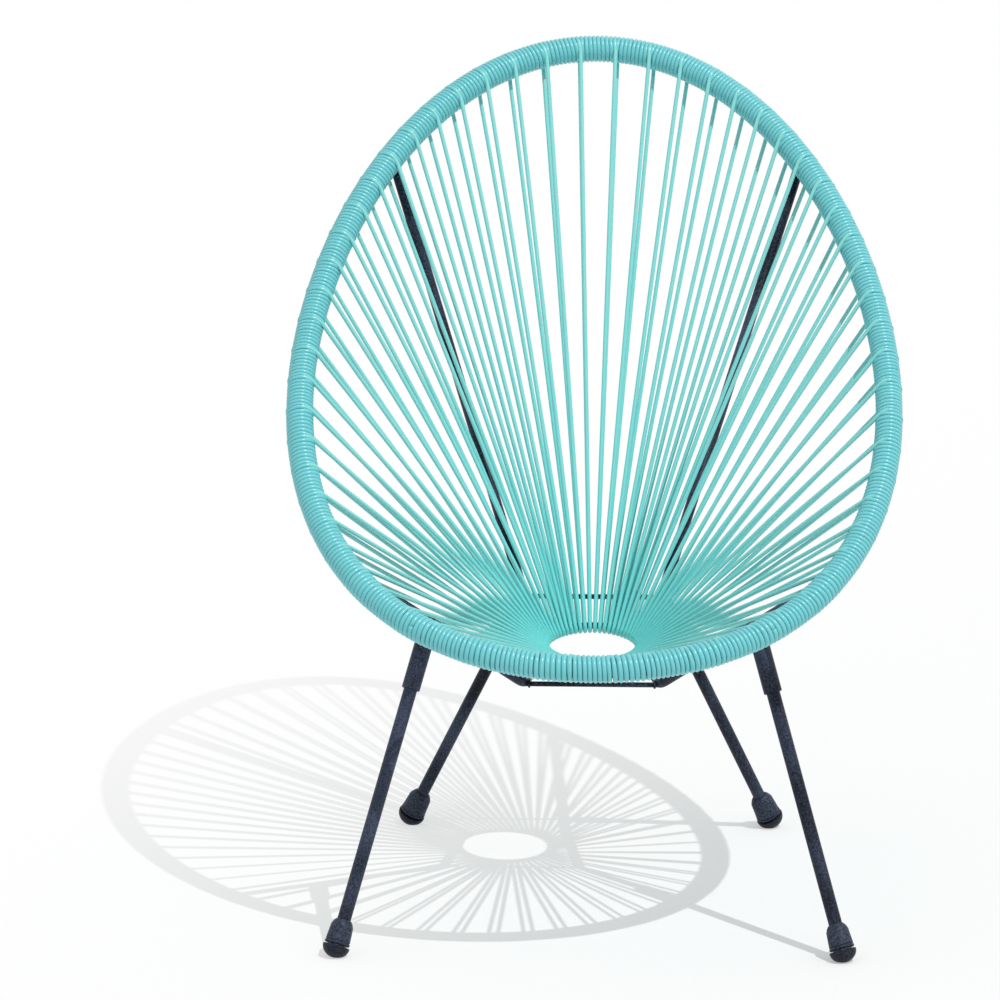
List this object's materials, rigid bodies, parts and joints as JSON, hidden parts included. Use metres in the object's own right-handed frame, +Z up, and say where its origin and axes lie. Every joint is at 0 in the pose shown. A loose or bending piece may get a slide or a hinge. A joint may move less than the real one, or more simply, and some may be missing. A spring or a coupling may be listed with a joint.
{
  "type": "acapulco chair",
  "caption": "Low outdoor chair with an egg-shaped steel rim strung with plastic cord to a small inner ring, on a tube frame with splayed legs and tilting foot pads.",
  "frame": {"origin": "on the floor, under the middle of the rim", "axes": "+Z up, the seat opens towards -Y, +X to the right as seen from the front"},
  "size_m": [0.7232, 0.8614, 0.893],
  "materials": {
    "seat_cord": "smooth hollow PVC cord, soft gloss",
    "frame_steel": "dark blue-grey powder coat, fine texture",
    "fastener_steel": "zinc-plated steel",
    "foot_plastic": "moulded matt plastic"
  },
  "bodies": {
    "chair": {"rim_tube": "frame_steel", "inner_ring": "frame_steel", "left_arm": "frame_steel", "right_arm": "frame_steel", "left_seat_rail": "frame_steel", "right_seat_rail": "frame_steel", "left_back_brace": "frame_steel", "right_back_brace": "frame_steel", "front_cross_rod": "frame_steel", "rear_cross_rod": "frame_steel", "front_left_socket": "frame_steel", "front_left_leg": "frame_steel", "front_left_screw": "fastener_steel", "front_left_cap": "foot_plastic", "front_left_stud": "fastener_steel", "front_right_socket": "frame_steel", "front_right_leg": "frame_steel", "front_right_screw": "fastener_steel", "front_right_cap": "foot_plastic", "front_right_stud": "fastener_steel", "rear_left_socket": "frame_steel", "rear_left_leg": "frame_steel", "rear_left_screw": "fastener_steel", "rear_left_cap": "foot_plastic", "rear_left_stud": "fastener_steel", "rear_right_socket": "frame_steel", "rear_right_leg": "frame_steel", "rear_right_screw": "fastener_steel", "rear_right_cap": "foot_plastic", "rear_right_stud": "fastener_steel", "seat_cord_01": "seat_cord", "seat_cord_02": "seat_cord", "seat_cord_03": "seat_cord", "seat_cord_04": "seat_cord", "seat_cord_05": "seat_cord", "seat_cord_06": "seat_cord", "seat_cord_07": "seat_cord", "seat_cord_08": "seat_cord", "seat_cord_09": "seat_cord", "seat_cord_10": "seat_cord", "seat_cord_11": "seat_cord", "seat_cord_12": "seat_cord"},
    "front_left_foot": {"front_left_glide": "foot_plastic"},
    "front_right_foot": {"front_right_glide": "foot_plastic"},
    "rear_left_foot": {"rear_left_glide": "foot_plastic"},
    "rear_right_foot": {"rear_right_glide": "foot_plastic"}
  },
  "joints": [
    {"name": "front_left_tilt", "type": "hinge", "parent": "chair", "child": "front_left_foot", "pos_m": [-0.29583, -0.38526, 0.00763], "axis": [0.8373, -0.5467, 0], "range_deg": [-6, 6]},
    {"name": "front_right_tilt", "type": "hinge", "parent": "chair", "child": "front_right_foot", "pos_m": [0.29583, -0.38526, 0.00763], "axis": [0.8373, 0.5467, 0], "range_deg": [-6, 6]},
    {"name": "rear_left_tilt", "type": "hinge", "parent": "chair", "child": "rear_left_foot", "pos_m": [-0.2155, 0.11584, 0.00754], "axis": [-0.471, -0.8821, 0], "range_deg": [-6, 6]},
    {"name": "rear_right_tilt", "type": "hinge", "parent": "chair", "child": "rear_right_foot", "pos_m": [0.2155, 0.11584, 0.00754], "axis": [-0.471, 0.8821, 0], "range_deg": [-6, 6]}
  ]
}
